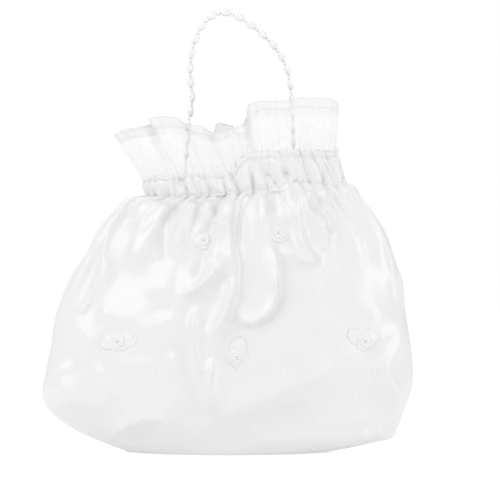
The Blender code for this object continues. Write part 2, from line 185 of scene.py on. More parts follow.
def billow(a, b, size, seed):
    """Round swellings between narrow creases that cross like a diamond net, from about -0.8 to 0.8."""
    crossed = (ripple(a, b, size, seed) + ripple(a, -b, size, seed)) / math.sqrt(2)
    return 1.6 * np.abs(crossed) ** 0.75 - 0.8


def pleats(along, count, seed):
    """count uneven pleats over along from 0 to 1: round crests between narrower valleys, from -1 to 1."""
    rng = np.random.default_rng(seed)
    phases = rng.uniform(0, 2 * math.pi, 4)
    drift = 0.55 * np.sin(2 * math.pi * 1.7 * along + phases[0])
    drift += 0.35 * np.sin(2 * math.pi * 4.3 * along + phases[1])
    turn = 2 * math.pi * (count * along + drift)
    swell = 1 + 0.35 * np.sin(2 * math.pi * 2.9 * along + phases[2])
    swell += 0.25 * np.sin(2 * math.pi * 6.1 * along + phases[3])
    return (2 * (0.5 + 0.5 * np.sin(turn)) ** PLEAT_SHARPNESS - 1) * swell


# ---- meshes from grids
def cloth_places(line, steps):
    """How far along the cloth each end of its steps is, in metres; a closed line's last step is far away."""
    along = lengths_along(line)
    return np.append(along, 2 * len(line) * along[-1] / (len(line) - 1))[:steps + 1] * MM


def grid_object(name, points, material, closed_across=False, closed_up=False):
    """A mesh from rows of points in millimetres, with UVs in metres along the cloth."""
    rows, columns = points.shape[:2]
    index = np.arange(rows * columns).reshape(rows, columns)
    if closed_across:
        index = np.concatenate([index, index[:, :1]], axis=1)
    if closed_up:
        index = np.concatenate([index, index[:1]], axis=0)
    faces = np.stack([index[:-1, :-1], index[:-1, 1:], index[1:, 1:], index[1:, :-1]], axis=-1)
    mesh = bpy.data.meshes.new(name)
    mesh.from_pydata((points.reshape(-1, 3) * MM).tolist(), [], faces.reshape(-1, 4).tolist())
    across = cloth_places(points[rows // 2], faces.shape[1])
    up = cloth_places(points[:, columns // 2], faces.shape[0])
    u = np.stack([across[:-1], across[1:], across[1:], across[:-1]], axis=-1)[None]
    v = np.stack([up[:-1], up[:-1], up[1:], up[1:]], axis=-1)[:, None]
    uv = np.stack(np.broadcast_arrays(u, v), axis=-1)
    mesh.uv_layers.new(name="cloth").data.foreach_set("uv", uv.ravel())
    mesh.shade_smooth()
    made = bpy.data.objects.new(name, mesh)
    mesh.materials.append(material)
    bpy.context.scene.collection.objects.link(made)
    return made


def close_mesh(bm, mesh):
    """Put a finished bmesh into a mesh, with its faces turned outwards."""
    bmesh.ops.recalc_face_normals(bm, faces=bm.faces)
    bm.to_mesh(mesh)
    bm.free()
    mesh.shade_smooth()


def skin_rings(bm, rings):
    """Faces between rings of vertices, with the first and last ring closed."""
    for low, high in zip(rings, rings[1:]):
        for i in range(len(low)):
            j = (i + 1) % len(low)
            bm.faces.new((low[i], low[j], high[j], high[i]))
    bm.faces.new(rings[0][::-1])
    bm.faces.new(rings[-1])


def mesh_object(name, bm, material):
    """A new object from a finished bmesh."""
    mesh = bpy.data.meshes.new(name)
    close_mesh(bm, mesh)
    made = bpy.data.objects.new(name, mesh)
    mesh.materials.append(material)
    bpy.context.scene.collection.objects.link(made)
    return made


def grid_normals(points, outward):
    """Unit normals of a grid of points, turned so that they agree with the direction outward."""
    across = np.gradient(points, axis=1)
    up = np.gradient(points, axis=0)
    normals = unit(np.cross(across, up))
    flip = np.sign(np.sum(normals * outward, axis=-1, keepdims=True))
    return normals * np.where(flip == 0, 1, flip)


def thicken(obj, millimetres, offset=-1.0):
    """Give a sheet its thickness; offset -1 or 1 says which side it grows to."""
    solid = obj.modifiers.new("thickness", "SOLIDIFY")
    solid.thickness = millimetres * MM
    solid.offset = offset
    return obj


# ---- materials
class Nodes:
    """Short calls for building one material's nodes."""

    def __init__(self, name):
        self.material = bpy.data.materials.new(name)
        self.material.use_nodes = True
        self.tree = self.material.node_tree
        self.shader = self.tree.nodes["Principled BSDF"]

    def add(self, kind, **inputs):
        """A new node, with its inputs set or linked by name."""
        node = self.tree.nodes.new(kind)
        for key, value in inputs.items():
            self.put(node.inputs[key.replace("_", " ")], value)
        return node

    def put(self, socket, value):
        if isinstance(value, bpy.types.NodeSocket):
            self.tree.links.new(value, socket)
        else:
            socket.default_value = value

    def math(self, operation, one, other=0.0):
        node = self.tree.nodes.new("ShaderNodeMath")
        node.operation = operation
        self.put(node.inputs[0], one)
        self.put(node.inputs[1], other)
        return node.outputs[0]

    def noise(self, scale, detail):
        where = self.tree.nodes.new("ShaderNodeTexCoord").outputs["Object"]
        return self.add("ShaderNodeTexNoise", Vector=where, Scale=scale, Detail=detail).outputs["Fac"]

    def streaks(self, across, along):
        """Uneven yarn: noise drawn out along the cloth's warp."""
        where = self.tree.nodes.new("ShaderNodeTexCoord").outputs["UV"]
        drawn = self.add("ShaderNodeMapping", Vector=where, Scale=(across, along, 1.0))
        noise = self.add("ShaderNodeTexNoise", Vector=drawn.outputs["Vector"], Scale=1.0, Detail=2.0)
        return noise.outputs["Fac"]

    def ramp(self, value, low, high, start=0.35, end=0.65):
        """value turned into a colour or grey between low and high."""
        node = self.tree.nodes.new("ShaderNodeValToRGB")
        self.put(node.inputs["Fac"], value)
        for element, place, shade in zip(node.color_ramp.elements, (start, end), (low, high)):
            element.position = place
            element.color = (*shade, 1.0) if isinstance(shade, tuple) else (shade, shade, shade, 1.0)
        return node.outputs["Color"]

    def threads(self, pitch, slant=0.0):
        """The crowns of warp and weft threads, pitch metres apart, from the cloth's own UVs."""
        where = self.tree.nodes.new("ShaderNodeTexCoord").outputs["UV"]
        split = self.add("ShaderNodeSeparateXYZ", Vector=where)
        turn = 2 * math.pi / pitch
        slanted = self.math("MULTIPLY_ADD", split.outputs["Y"], slant)
        self.tree.links.new(split.outputs["X"], slanted.node.inputs[2])
        warp = self.math("SINE", self.math("MULTIPLY", slanted, turn))
        weft = self.math("SINE", self.math("MULTIPLY", split.outputs["Y"], turn))
        return self.math("MAXIMUM", warp, weft)

    def bump(self, height, distance, strength):
        node = self.add("ShaderNodeBump", Height=height, Distance=distance, Strength=strength)
        self.put(self.shader.inputs["Normal"], node.outputs["Normal"])

    def base(self, colour, **inputs):
        """Set the shader's colour and any of its other inputs."""
        self.put(self.shader.inputs["Base Color"], (*colour, 1.0) if isinstance(colour, tuple) else colour)
        for key, value in inputs.items():
            self.put(self.shader.inputs[key.replace("_", " ")], value)


def satin_material(name, light, dark, roughness, thread_pitch):
    """Bridal satin: long floats along the warp give a soft directional gloss, and the yarn is uneven."""
    made = Nodes(name)
    yarn = made.streaks(3500.0, 60.0)
    made.base(
        made.ramp(yarn, (dark, dark, dark), (light, light, light)),
        Roughness=made.ramp(yarn, roughness + 0.006, roughness - 0.006),
        Anisotropic=0.35,
        Specular_IOR_Level=0.7,
    )
    made.bump(made.threads(thread_pitch, 0.25), 0.00001, 0.12)
    return made.material


def organza_material(name, shade, opacity):
    """Sheer organza: an open plain weave of fine twisted threads."""
    made = Nodes(name)
    weave = made.threads(0.0005)
    alpha = made.math("MULTIPLY_ADD", weave, 0.05)
    alpha.node.inputs[2].default_value = opacity
    made.base(
        (shade, shade, shade), Alpha=alpha, Roughness=0.42, Sheen_Weight=0.3, Sheen_Roughness=0.3,
        Specular_IOR_Level=0.45,
    )
    made.bump(weave, 0.00002, 0.3)
    return made.material


def woven_material(name, light, dark, pitch, roughness=0.7):
    """Plain woven cloth or braid."""
    made = Nodes(name)
    made.base(
        made.ramp(made.threads(pitch), (dark, dark, dark), (light, light, light), 0.1, 0.9),
        Roughness=roughness, Sheen_Weight=0.2,
    )
    made.bump(made.threads(pitch), 0.00004, 0.5)
    return made.material


def pearl_material(name, light, dark, roughness):
    """Pearl lustre over a milky bead."""
    made = Nodes(name)
    made.base(
        made.ramp(made.noise(420.0, 2.0), dark, light),
        Roughness=made.ramp(made.noise(900.0, 2.0), roughness, roughness + 0.1),
        Coat_Weight=0.8, Coat_Roughness=0.06, Subsurface_Weight=0.12, Subsurface_Scale=0.0012,
        Specular_IOR_Level=0.6,
    )
    made.bump(made.noise(700.0, 2.0), 0.00004, 0.25)
    return made.material


def card_material(name):
    """Grey board with short fibres."""
    made = Nodes(name)
    made.base(
        made.ramp(made.noise(900.0, 5.0), (0.60, 0.58, 0.54), (0.76, 0.74, 0.70)), Roughness=0.9
    )
    made.bump(made.noise(1500.0, 4.0), 0.00005, 0.4)
    return made.material


SATIN = satin_material("white_satin", 0.778, 0.775, 0.27, 0.00035)
RIBBON = satin_material("ribbon_satin", 0.792, 0.778, 0.33, 0.0003)
LINING = woven_material("white_lining", 0.82, 0.76, 0.0006)
ELASTIC = woven_material("braided_elastic", 0.82, 0.68, 0.0012, 0.8)
ORGANZA = organza_material("white_organza", 0.91, 0.48)
HEM = organza_material("organza_hem", 0.87, 0.50)
ORGANZA_EDGE = organza_material("organza_edge", 0.86, 0.80)
SEWING_THREAD = woven_material("sewing_thread", 0.84, 0.74, 0.0003, 0.6)
PEARL = pearl_material("pearl_bead", (0.865, 0.86, 0.85), (0.80, 0.79, 0.775), 0.2)
SEED = pearl_material("seed_bead", (0.84, 0.835, 0.825), (0.77, 0.76, 0.75), 0.24)
CARD = card_material("grey_board")


# ---- the body's plain shape
def outline(mid, half, depth, angle, face):
    """Places round one face of a rounded section, from the left seam (pi) to the right one (0)."""
    power = 2 / ROUNDNESS
    across = np.sign(np.cos(angle)) * np.abs(np.cos(angle)) ** power
    return mid + half * across, face * depth * np.abs(np.sin(angle)) ** power


def with_slope(x, height):
    """The height of a place once the neck's slope to the right is taken up."""
    return height + NECK_SLOPE * smooth((height - SLOPE_FROM) / (NECK - SLOPE_FROM)) * (x - NECK_LEAN)


def plain_body(heights, angles, face, inset=0.0):
    """The body's shape with no folds, as a grid of points in millimetres."""
    edges = curve_through(SILHOUETTE, heights)
    left, right, depth = edges[:, :1], edges[:, 1:2], edges[:, 2:]
    x, y = outline((left + right) / 2, (right - left) / 2 - inset, depth - inset, angles[None, :], face)
    return np.stack([x, y, with_slope(x, heights[:, None])], axis=-1)


def even_heights(count):
    """Heights from the base to the neck that are evenly spaced along the cloth."""
    fine = np.linspace(SILHOUETTE[0][0], NECK, 2000)
    edges = curve_through(SILHOUETTE, fine)
    along = lengths_along(np.stack([fine, (edges[:, 1] - edges[:, 0]) / 2, edges[:, 2]], axis=-1))
    return np.interp(np.linspace(0, along[-1], count), along, fine)


# ---- folds in the satin
# Each fold: its path seen from the front as (X, height), how far it stands out, its width to the left
# and right of the path walked from its first point, and its crest (1 is a crease, 2 is round).
FOLDS = (
    # parallel folds that sweep down the left side from the neck
    (((-53, 154), (-76, 136), (-91, 111), (-101, 86)), 2.2, 3.5, 3.0, 1.3),
    (((-48, 151), (-70, 132), (-83, 110), (-93, 86), (-92, 78)), 2.6, 3.5, 6.0, 1.3),
    (((-44, 150), (-60, 139), (-70, 123), (-73, 106), (-83, 86)), 2.4, 5.0, 3.5, 1.2),
    (((-40, 149), (-51, 132), (-54, 121), (-54, 108)), 2.3, 4.0, 4.0, 1.3),
    (((-35, 149), (-41, 135), (-48, 123), (-50, 113), (-47, 108)), 2.4, 3.5, 7.0, 1.3),
    (((-29, 149), (-37, 136), (-37, 122), (-33, 108)), -1.1, 4.0, 4.0, 1.6),
    # folds each side of the hidden rosette
    (((-19, 150), (-27, 137), (-26, 122), (-20, 115)), 2.8, 4.0, 3.5, 1.2),
    (((-13, 134), (-15, 124), (-13, 114)), -1.0, 5.0, 5.0, 1.8),
    (((-11, 150), (-10, 141), (-2, 135)), 2.0, 2.5, 3.0, 1.2),
    (((3, 143), (-5, 128), (-11, 116)), 2.4, 2.5, 3.0, 1.2),
    (((0, 122), (-5, 111), (-17, 99), (-31, 93)), 2.8, 2.2, 5.0, 1.2),
    # the long fold that runs down the middle
    (((4, 153), (1, 135), (2, 119), (4, 104), (0, 87), (-8, 71), (-12, 56)), 2.9, 2.4, 4.5, 1.2),
    (((-19, 92), (-20, 70), (-18, 55), (-13, 40)), 2.3, 3.5, 3.0, 1.3),
    (((-10, 60), (-8, 44), (-12, 24)), 2.3, 4.5, 4.0, 1.3),
    # the broad tongue right of the middle
    (((13, 154), (9, 133), (11, 111), (8, 84)), 1.1, 1.8, 1.8, 1.2),
    (((23, 155), (23, 135), (28, 119), (29.5, 104), (26, 89), (17, 79)), 1.2, 1.4, 3.0, 1.2),
    (((28, 157), (28, 141)), -1.5, 3.5, 3.5, 1.6),
    # folds right of the upper rosette
    (((41, 156), (42, 131), (48, 119), (58, 114)), 2.6, 3.0, 3.5, 1.2),
    (((29, 127), (40, 116), (56, 114)), 1.7, 2.2, 3.5, 1.3),
    (((49, 156), (46, 147), (52, 140), (63, 139)), 2.3, 2.5, 4.5, 1.2),
    (((57, 157), (57, 148), (60, 143)), 1.9, 2.2, 2.5, 1.3),
    (((57, 136), (58, 127)), 1.5, 6.0, 6.0, 2.0),
    # parallel folds that follow the right side
    (((67, 158), (86, 134), (93, 118), (99, 96)), 2.0, 3.0, 3.2, 1.2),
    (((69, 161), (90, 139), (98, 120), (103, 99), (106, 80)), 1.8, 2.5, 2.5, 1.2),
    (((104, 88), (101, 68), (94, 52), (99, 34), (97, 14)), 1.7, 4.5, 6.0, 1.3),
    (((97, 72), (90, 58), (87, 44)), 1.5, 3.0, 4.0, 1.4),
    # the lower corners and the broad soft rise across the lower right
    (((-72, 6), (-63, 16), (-51, 22), (-40, 23), (-29, 13)), 2.0, 5.0, 2.5, 1.3),
    (((-60, 8), (-46, 13), (-36, 11)), -0.9, 4.0, 4.0, 1.8),
    (((-100, 62), (-97, 38), (-88, 22)), 1.4, 5.0, 6.0, 1.6),
    (((-76, 90), (-70, 78)), 1.2, 4.0, 4.0, 1.6),
    (((-84, 56), (-72, 44), (-66, 30)), 0.9, 4.0, 6.0, 1.5),
    (((-36, 62), (-27, 52)), 0.8, 3.0, 3.0, 1.5),
    (((-14, 20), (14, 33), (45, 46), (68, 55)), 2.5, 10.0, 8.0, 1.6),
    (((-16, 12), (18, 19), (56, 30)), -1.3, 6.0, 9.0, 1.8),
    (((60, 96), (84, 88), (98, 74)), 0.8, 9.0, 9.0, 1.8),
    (((-98, 84), (-84, 70), (-78, 56)), 1.1, 6.0, 8.0, 1.6),
    (((-44, 108), (-32, 88), (-36, 70)), 1.2, 7.0, 6.0, 1.7),
    (((80, 16), (82, 6)), 1.4, 2.5, 2.5, 1.4),
    (((88, 17), (92, 7)), 1.2, 2.5, 2.5, 1.4),
)
# Flaps of loose cloth between folds: the path of the middle as (X, height, half width), and how far the
# lower right-hand edge stands out.
FLAPS = (
    (((19, 156, 4), (16, 134, 7), (19, 119, 9), (20, 104, 10), (17, 89, 9.5), (13, 84, 7)), 5.0),
    (((-66, 140, 3), (-75, 122, 5), (-82, 105, 6.5), (-88, 88, 4.5)), 2.6),
    (((-3, 118, 4), (-8, 97, 11), (-10, 85, 10), (-11, 70, 7), (-11, 54, 4), (-12.5, 38, 3)), 2.4),
    (((50, 146, 4), (53, 135, 6), (54, 127, 6)), 2.6),
    (((31, 126, 2), (40, 117, 3.5), (52, 113, 2)), 1.8),
)
FLAP_EDGE_LEFT = 6.0  # how wide the soft left-hand edge of a flap is, and the sharper right-hand one
FLAP_EDGE_RIGHT = 2.4
# Rosettes on the front, as (X, height); the back's are in the same places.
ROSETTES = ((-65.0, 67.0), (5.5, 59.0), (80.5, 67.0), (-14.2, 127.0), (29.3, 131.0))


CREST_RADIUS = 0.35
GATHERED_FROM = 146.0  # folds that begin above this height start at full depth, in the gathers
FOLD_RISE = 2.0  # how much deeper all the folds are than their listed size
FOLD_END = 11.0  # the length over which a fold dies away into the cloth
FOLD_END_SHARES = (0.3, 0.6)  # the least and most of a fold's own length that this may take
ROUTE_STEPS = 40  # how many places a fold's path is measured from


def nearest_on(route, x, height):
    """How far each point is from a route, on which side of it (1 left, -1 right), and how far along it."""
    nearest = np.full(x.shape, 1e9)
    side = np.zeros(x.shape)
    along = np.zeros(x.shape)
    for i, ((x0, z0), (x1, z1)) in enumerate(zip(route, route[1:])):
        step_x, step_z = x1 - x0, z1 - z0
        length = math.hypot(step_x, step_z)
        t = np.clip(((x - x0) * step_x + (height - z0) * step_z) / length ** 2, 0, 1)
        away_x, away_z = x - x0 - t * step_x, height - z0 - t * step_z
        distance = np.hypot(away_x, away_z)
        closer = distance < nearest
        turned = (step_x * away_z - step_z * away_x) / (length * np.maximum(distance, 1e-6))
        nearest = np.where(closer, distance, nearest)
        side = np.where(closer, turned, side)
        along = np.where(closer, (i + t) / (len(route) - 1), along)
    return nearest, side, along


def fold_relief(x, height, path, rise, left, right, crest):
    """How far one fold lifts each point of the cloth."""
    route = path_through(path, ROUTE_STEPS)
    nearest, side, along = nearest_on(route, x, height)
    width = right + (left - right) * (0.5 + 0.5 * side)
    rounded = np.sqrt(nearest ** 2 + CREST_RADIUS ** 2) - CREST_RADIUS
    soft_end = np.clip(FOLD_END / lengths_along(route)[-1], *FOLD_END_SHARES)
    gathered = path[0][1] > GATHERED_FROM
    begin = smooth(along / 0.12 + 0.35) if gathered else smooth(along / soft_end)
    fade = begin * smooth((1 - along) / soft_end)
    return FOLD_RISE * rise * fade * falloff(rounded, width, crest)


def flap_relief(x, height, path, rise):
    """How far a flap lifts each point: it hangs out further towards its lower end and its right-hand edge."""
    route = path_through(path, ROUTE_STEPS)
    distance, side, along = nearest_on(route[:, :2], x, height)
    half = np.interp(along, np.linspace(0, 1, len(route)), route[:, 2])
    edge = FLAP_EDGE_RIGHT + (FLAP_EDGE_LEFT - FLAP_EDGE_RIGHT) * (0.5 - 0.5 * side)
    inside = smooth((half - distance) / edge + 0.5)
    across = np.clip(side * distance / half, -1, 1)
    return rise * inside * (0.35 + 0.65 * along) * (0.6 + 0.4 * across) * smooth(along / 0.15)


def gathered_place(angles):
    """How far round the neck from the left seam each angle is, in millimetres."""
    return lengths_along(np.stack(outline(0.0, *CASING_HALF, angles, BACK), axis=-1))


def puckers(place, above, seed):
    """The small irregular puckers at the casing's lower stitches, for the satin above and below them."""
    fine = 0.9 * billow(place, 0.40 * above + 3, 10.0, seed)
    return fine + 1.5 * billow(place, 0.25 * above + 5, 19.0, seed + 1)


def gather_relief(across, place, below, seed):
    """The gathers under the casing: many small puckers that join into fewer and softer folds further down."""
    fine = puckers(place, -below, seed) * falloff(np.maximum(below, 0), 13.0, 1.1)
    below = np.maximum(below, 0)
    middle = 0.8 * pleats(across, 15, seed + 1) * falloff(below, 22.0, 1.4) * smooth(below / 8)
    broad = 1.1 * pleats(across, 8, seed + 2) * falloff(below, 48.0) * smooth(below / 12)
    return fine + middle + broad


def satin_relief(x, height, across, place, below, face, seed):
    """All folds of a panel, in millimetres outwards."""
    total = gather_relief(across, place, below, seed)
    if face == FRONT:
        folds, shift, share = FOLDS, 0.0, 1.0
    else:
        folds, shift, share = FOLDS[::-1], -4.0, 0.85
    seen = x if face == FRONT else 2 * NECK_LEAN - 8 - x
    for path, rise, left, right, crest in folds:
        total = total + share * fold_relief(seen, height - shift, path, rise, left, right, crest)
    for path, rise in FLAPS:
        total = total + share * flap_relief(seen, height - shift, path, rise)
    total += 1.3 * ripple(x, height, 62, seed + 5) + 0.45 * ripple(x, height, 27, seed + 6)
    total += 0.10 * ripple(x, height, 12, seed + 7)
    for rose_x, rose_height in ROSETTES:
        distance = np.hypot(x - rose_x, (height - rose_height) * 1.2)
        total = total * (1 - 0.75 * falloff(distance, 12.0, 4))
        total -= 0.5 * falloff(distance, 7.0)
    return total


def panel_angles(count):
    """Angles from the left seam to the right one."""
    return np.linspace(math.pi, 0, count)


def satin_grid(face, seed):
    """A satin panel with its folds: the grid of points, and the directions out of the cloth."""
    heights = even_heights(BODY_ROWS)
    angles = panel_angles(BODY_COLUMNS)
    plain = plain_body(heights, angles, face)
    x, height = plain[..., 0], plain[..., 2]
    across = np.broadcast_to(np.linspace(0, 1, BODY_COLUMNS), x.shape)
    below = with_slope(x, np.full(x.shape, NECK)) - height
    place = np.broadcast_to(gathered_place(angles), x.shape)
    relief = satin_relief(x, height, across, place, below, face, seed)
    fade = seam_fade(across, 0.06) * smooth((height - SILHOUETTE[0][0]) / 9.0)
    normals = grid_normals(plain, plain - BODY_CENTRE)
    return plain + normals * (relief * fade)[..., None], normals


def tucked_rows(last, face):
    """The rows of the satin that go on from its last row up inside the casing."""
    inward = (CASING_MIDDLE, 0.0, 0.0) - last * (1, 1, 0)
    inward[:, 2] = 0.0
    inward = unit(inward)
    rows = []
    for deep, up in ((0.35, 0.7), (1.1, 1.8), (2.4, 4.0)):
        row = last + inward * deep
        row[:, 2] += up
        row[:, 1] = face * np.maximum(face * row[:, 1], 0.0)
        rows.append(row)
    return np.array(rows)


def make_satin_panel(name, face, seed):
    """One satin panel, with the grid and directions that its rosettes stand on."""
    points, normals = satin_grid(face, seed)
    cloth = grid_object(name, np.concatenate([points, tucked_rows(points[-1], face)]), SATIN)
    thicken(cloth, 0.35, -1.0 if face == FRONT else 1.0)
    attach(cloth, "bag")
    return cloth, points, normals


def place_on(points, normals, x, height):
    """The place and direction of the cloth nearest to (x, height)."""
    miss = np.hypot(points[..., 0] - x, points[..., 2] - height)
    row, column = np.unravel_index(np.argmin(miss), miss.shape)
    return Vector(points[row, column] * MM), Vector(normals[row, column])


# ---- the casing, elastic and frill
def casing_height(x):
    """How tall the casing is at x."""
    return CASING_LEFT + (CASING_RIGHT - CASING_LEFT) * smooth(
        (x - CASING_STEP[0]) / (CASING_STEP[1] - CASING_STEP[0])
    )


def neck_line(angles, half, face):
    """Places round one face of the neck."""
    return outline(CASING_MIDDLE, half[0], half[1], angles, face)


def leant(x, height):
    """X once the casing's lean to the left is taken up, for a place at this height."""
    return x - CASING_BACKWARD * (height - with_slope(x, NECK))


def casing_surface(face, seed, side, share):
    """The casing's cloth: side is which of its faces each row is on, and share how far up the row is."""
    angles = panel_angles(CASING_COLUMNS)
    x, y = neck_line(angles, CASING_HALF, face)
    along = np.linspace(0, 1, CASING_COLUMNS)
    out_x, out_y = neck_line(angles, (CASING_HALF[0] + 1, CASING_HALF[1] + 1), face)
    step = unit(np.stack([out_x - x, out_y - y], axis=-1))
    share = share[:, None]
    place = gathered_place(angles)
    low = with_slope(x, NECK) - CASING_LAP + 0.7 * ripple(place, 0.0, 15, seed + 9)
    high = with_slope(x, NECK) + casing_height(x)
    height = low + (high - low) * share
    relief = puckers(place, height - with_slope(x, NECK), seed)
    for pocket_x, pocket_height, depth, width, length in CASING_POCKETS:
        far = ((x - pocket_x) / width) ** 2 + ((height - pocket_height) / length) ** 2
        relief = relief - depth * np.exp(-far) * (face == FRONT)
    stitched = falloff(share - FIRST_STITCHES, 0.07) + falloff(share - LAST_STITCHES, 0.06)
    swell = CASING_SWELL * (1 - 0.45 * stitched)
    seam = seam_fade(along, 0.045)
    scallop = (0.9 * billow(place, 0.0, 11.0, seed + 4) + 0.6 * ripple(place, 0.0, 30, seed + 5)) * seam
    height = height + scallop * smooth((share - 0.4) / 0.6)
    out = side[:, None] * swell + (relief * (1.35 - 0.5 * stitched) + 0.3) * seam
    return np.stack([leant(x + step[:, 0] * out, height), y + step[:, 1] * out, height], axis=-1)


def blend_to_mouth(obj):
    """Bake the cloth's transform into its mesh and return it."""
    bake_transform(obj)
    return obj


def make_casing(name, face, seed, replaced):
    """The casing as one flat tube: up its outer face, over the top, and down its inner face."""
    turn = full_turn(CASING_ROWS * 2)
    side = np.cos(turn)
    side = np.sign(side) * np.abs(side) ** 0.45
    up = 0.5 + 0.5 * np.sin(turn)
    points = casing_surface(face, seed, side, up)
    casing = grid_object(name, points, SATIN, closed_up=True)
    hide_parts(replaced)
    return blend_to_mouth(casing), points


def make_elastic(name, face):
    """The flat elastic inside the casing."""
    angles = panel_angles(120)
    rows = []
    for side, up in ((0.35, 3.5), (0.35, 9.5), (-0.35, 9.5), (-0.35, 3.5)):
        x, y = neck_line(angles, (CASING_HALF[0] + side, CASING_HALF[1] + side), face)
        height = with_slope(x, NECK) + up
        rows.append(np.stack([leant(x, height), y, height], axis=-1))
    band = grid_object(name, np.array(rows), ELASTIC, closed_up=True)
    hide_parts("elastic_front" if face == FRONT else "elastic_back")
    return blend_to_mouth(band)


# The frill's top edge on the front, from the left seam to the right one, as (X, Y, height).
FRONT_HEM = (
    (-67.5, 0, 190), (-69, -5, 191), (-62, -15, 193.5), (-50, -22, 194.5), (-44, -19, 196),
    (-47.5, -24, 199.5), (-40, -31, 200.5), (-31, -29, 200), (-26, -22, 197), (-20, -25, 195.5),
    (-17, -27, 195.5), (-11, -21, 192), (-6, -24, 191), (1, -29, 193), (8, -26, 196), (11, -17, 201),
    (12.5, -25, 208), (18, -30, 209.5), (28, -27, 210), (38, -29, 210.5),
    (43, -29, 212), (51, -27, 211.5), (58, -23, 211.8), (63, -14, 211.5), (66, -5, 209), (66.5, 0, 208),
)
BACK_HEM = (
    (-67.5, 0, 190), (-66, 7, 192), (-58, 19, 196), (-50, 17, 198), (-42, 26, 199), (-33, 22, 198),
    (-24, 29, 197), (-16, 23, 193), (-10, 24, 192), (-7, 26, 199.5), (3, 26, 197.5), (5, 22, 193),
    (10, 20, 194), (14, 26, 205), (18, 29, 208),
    (27, 23, 209), (36, 29, 209), (45, 21, 210), (53, 24, 209), (61, 14, 209), (66, 6, 208), (66.5, 0, 208),
)
FRILL_COLUMNS = 420
FRILL_ROWS = 40
HEM_DEPTH = 6.0
SEWN_IN = 2.5  # how far the frill's lower edge sits inside the casing


def frill_grid(face, seed):
    """The frill's cloth: sharp flutes at the hem that close to small gathers at the casing."""
    hem = path_through(FRONT_HEM if face == FRONT else BACK_HEM, FRILL_COLUMNS, 0.45)
    along = np.linspace(0, 1, FRILL_COLUMNS)
    share = np.linspace(0, 1, FRILL_ROWS)[:, None]
    base_x, base_y = neck_line(math.pi * (1 - gathered_share(hem)), CASING_HALF, face)
    low = with_slope(base_x, NECK) + casing_height(base_x) - SEWN_IN
    base = np.stack([leant(base_x, low), base_y, low], axis=-1)
    flare = share ** 0.85
    points = base[None] * (1 - flare[..., None]) + hem[None] * flare[..., None]
    seam = seam_fade(along, 0.02)
    gathers = 0.55 * pleats(along, 46, seed) * np.exp(-share * 5.0)
    flutes = 0.5 * pleats(along, 21, seed + 1) * np.sin(math.pi * np.clip(share, 0, 1)) ** 0.8
    crinkle = 0.18 * ripple(along * 160, share * 34, 9, seed + 2)
    points[..., 1] += face * (gathers + flutes + crinkle) * seam
    points[..., 0] += 0.25 * ripple(along * 160, share * 34, 14, seed + 3) * seam * share
    return points


def gathered_share(hem):
    """Where each place of the hem is gathered along the casing, from 0 to 1: by its X along the neck."""
    x = np.maximum.accumulate(hem[:, 0])
    lean = (x - x[0]) / (x[-1] - x[0])
    even = lengths_along(hem) / lengths_along(hem)[-1]
    mixed = 0.75 * lean + 0.25 * even
    return np.arccos(1 - 2 * np.clip(mixed, 0, 1)) / math.pi


def make_frill(face, seed):
    """The frill's cloth with its turned hem, the hem's rolled edge and its row of stitches."""
    word = "front" if face == FRONT else "back"
    points = frill_grid(face, seed)
    cloth = grid_object(f"organza_frill_{word}", points, ORGANZA)
    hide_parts(f"frill_{word}")
    blend_to_mouth(cloth)
    hem_share = HEM_DEPTH / (points[-1, :, 2] - points[0, :, 2]).mean()
    first = int(round(FRILL_ROWS * (1 - hem_share)))
    band = points[first:].copy()
    outward = np.zeros_like(band)
    outward[..., 1] = face
    normals = grid_normals(band, outward)
    hem = grid_object(f"organza_hem_{word}", band + normals * 0.25, HEM)
    edge = tube_along(f"hem_edge_{word}", points[-1], 0.22, ORGANZA_EDGE)
    for piece in (hem, edge):
        blend_to_mouth(piece)
    stitch = stitch_row(f"hem_stitches_{word}", band[0] + normals[0] * 0.35, normals[0], 1.5, 0.8, 0.1)
    blend_to_mouth(stitch)


# ---- tubes and stitches
TUBE_SIDES = 6
# A stitch from end to end: the place, how thick it is and how far it stands out, as shares.
STITCH_PLACES = np.array([0.0, 0.12, 0.5, 0.88, 1.0])
STITCH_SIZES = np.array([0.3, 0.85, 1.0, 0.85, 0.3])
STITCH_RISES = np.array([-0.9, 0.1, 0.6, 0.1, -0.9])
STITCH_SECTION = ((1, 0), (0.5, 0.87), (-0.5, 0.87), (-1, 0), (-0.5, -0.87), (0.5, -0.87))


def ring_frames(path):
    """Two directions square to a path at each of its points, turning as little as they can."""
    tangents = unit(np.gradient(path, axis=0))
    side = np.cross(tangents[0], (0.0, 0.0, 1.0))
    if np.linalg.norm(side) < 0.1:
        side = np.cross(tangents[0], (0.0, 1.0, 0.0))
    sides = []
    for tangent in tangents:
        side = unit(side - tangent * side.dot(tangent))
        sides.append(side)
    sides = np.array(sides)
    return sides, np.cross(tangents, sides)


def tube_along(name, path, radius, material):
    """A thin round tube along a path, closed at both ends."""
    one, other = ring_frames(path)
    turns = full_turn(TUBE_SIDES)
    ring = np.cos(turns)[None, :, None] * one[:, None] + np.sin(turns)[None, :, None] * other[:, None]
    tube = grid_object(name, path[:, None] + ring * radius, material, closed_across=True)
    bm = bmesh.new()
    bm.from_mesh(tube.data)
    bmesh.ops.holes_fill(bm, edges=[e for e in bm.edges if e.is_boundary], sides=0)
    close_mesh(bm, tube.data)
    return tube


